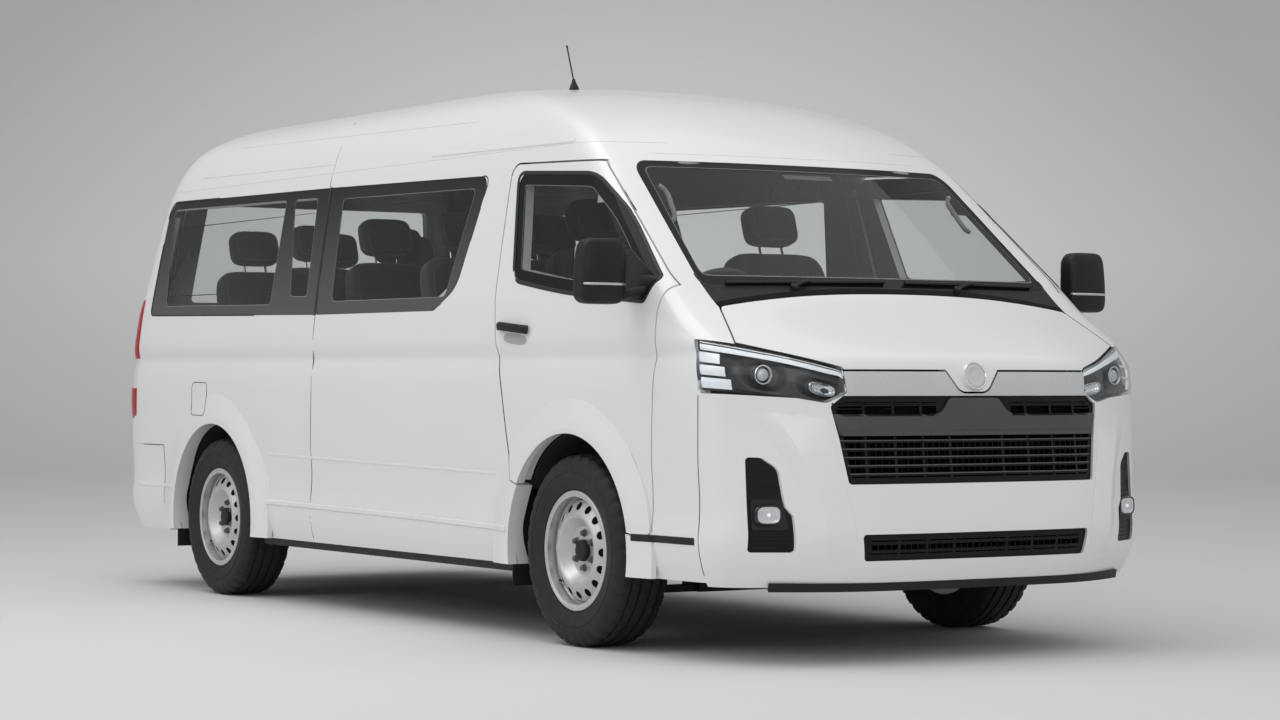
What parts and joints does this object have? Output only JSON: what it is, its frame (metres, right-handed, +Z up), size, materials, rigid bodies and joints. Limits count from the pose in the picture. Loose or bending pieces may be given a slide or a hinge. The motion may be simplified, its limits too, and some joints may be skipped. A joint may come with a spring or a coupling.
{
  "type": "minibus",
  "caption": "High-roof minibus with a short bonnet, long side windows, a sliding side door, a tailgate, steered front wheels and a cabin with rows of seats.",
  "frame": {"origin": "on the ground, half way along the vehicle and on its centre plane", "axes": "+Z up, +Y towards the tail, so the nose points to -Y; +X towards the vehicle's left"},
  "size_m": [2.424, 5.4033, 2.3602],
  "materials": {
    "body_white": "gloss white paint",
    "window_glass": "lightly tinted safety glass",
    "lens_glass": "clear lens",
    "lamp_body": "dark bezel with bright reflectors",
    "black_plastic": "grained black plastic",
    "silver_trim": "satin silver",
    "tail_lamp_red": "red lens",
    "underbody_steel": "black underseal",
    "engine_metal": "bare casting",
    "tank_metal": "dark coated steel",
    "flap_rubber": "black rubber",
    "tyre_rubber": "black tyre rubber",
    "rim_steel": "silver painted steel",
    "seat_fabric": "dark grey woven cloth",
    "dash_plastic": "soft black grain"
  },
  "bodies": {
    "body": {"side_panel_right": "body_white", "side_panel_left": "body_white", "sliding_door": "body_white", "front_fenders": "body_white", "roof_panel": "body_white", "front_bumper": "body_white", "rear_bumper": "body_white", "windscreen": "window_glass", "side_windows": "window_glass", "headlamp_lenses": "lens_glass", "headlamps": "lamp_body", "grilles": "black_plastic", "cowl": "black_plastic", "wipers_and_antenna": "black_plastic", "grille_bar": "silver_trim", "tail_lamps": "tail_lamp_red", "floor_pan": "underbody_steel", "front_suspension": "underbody_steel", "rear_axle": "underbody_steel", "engine_and_radiator": "engine_metal", "underbody": "tank_metal", "mud_flaps": "flap_rubber", "front_seats": "seat_fabric", "rear_seats": "seat_fabric", "dashboard": "dash_plastic", "steering_wheel": "dash_plastic"},
    "door_right": {"front_door_right": "body_white", "door_glass_right": "window_glass", "mirror_and_handle_right": "black_plastic"},
    "door_left": {"front_door_left": "body_white", "door_glass_left": "window_glass", "mirror_and_handle_left": "black_plastic"},
    "tail_door": {"tailgate": "body_white", "tailgate_glass": "window_glass"},
    "bonnet_lid": {"bonnet": "body_white"},
    "steering_right": {"knuckle_right": "underbody_steel"},
    "steering_left": {"knuckle_left": "underbody_steel"},
    "wheel_front_right": {"tyre_front_right": "tyre_rubber", "rim_front_right": "rim_steel"},
    "wheel_front_left": {"tyre_front_left": "tyre_rubber", "rim_front_left": "rim_steel"},
    "wheel_rear_right": {"tyre_rear_right": "tyre_rubber", "rim_rear_right": "rim_steel"},
    "wheel_rear_left": {"tyre_rear_left": "tyre_rubber", "rim_rear_left": "rim_steel"}
  },
  "joints": [
    {"name": "steer_right", "type": "hinge", "parent": "body", "child": "steering_right", "pos_m": [-0.8, -1.5, 0.354], "axis": [0, 0, 1], "range_deg": [-35, 35]},
    {"name": "wheel_front_right_spin", "type": "hinge", "parent": "steering_right", "child": "wheel_front_right", "pos_m": [-0.852, -1.5, 0.354], "axis": [1, 0, 0], "continuous": true},
    {"name": "wheel_rear_right_spin", "type": "hinge", "parent": "body", "child": "wheel_rear_right", "pos_m": [-0.852, 1.64, 0.354], "axis": [1, 0, 0], "continuous": true},
    {"name": "front_door_right_hinge", "type": "hinge", "parent": "body", "child": "door_right", "pos_m": [-0.968, -2.09, 1.1], "axis": [0.0599, 0, 0.9982], "range_deg": [0, 68]},
    {"name": "steer_left", "type": "hinge", "parent": "body", "child": "steering_left", "pos_m": [0.8, -1.5, 0.354], "axis": [0, 0, 1], "range_deg": [-35, 35]},
    {"name": "wheel_front_left_spin", "type": "hinge", "parent": "steering_left", "child": "wheel_front_left", "pos_m": [0.852, -1.5, 0.354], "axis": [1, 0, 0], "continuous": true},
    {"name": "wheel_rear_left_spin", "type": "hinge", "parent": "body", "child": "wheel_rear_left", "pos_m": [0.852, 1.64, 0.354], "axis": [1, 0, 0], "continuous": true},
    {"name": "front_door_left_hinge", "type": "hinge", "parent": "body", "child": "door_left", "pos_m": [0.968, -2.09, 1.1], "axis": [0.0599, 0, -0.9982], "range_deg": [0, 68]},
    {"name": "tailgate_hinge", "type": "hinge", "parent": "body", "child": "tail_door", "pos_m": [0, 2.55204, 2.02994], "axis": [1, 0, 0], "range_deg": [0, 85]},
    {"name": "bonnet_hinge", "type": "hinge", "parent": "body", "child": "bonnet_lid", "pos_m": [0, -2.2246, 1.26192], "axis": [-1, 0, 0], "range_deg": [0, 50]}
  ],
  "couplings": [
    {"joint": "steer_left", "follows": "steer_right", "ratio": 1}
  ]
}
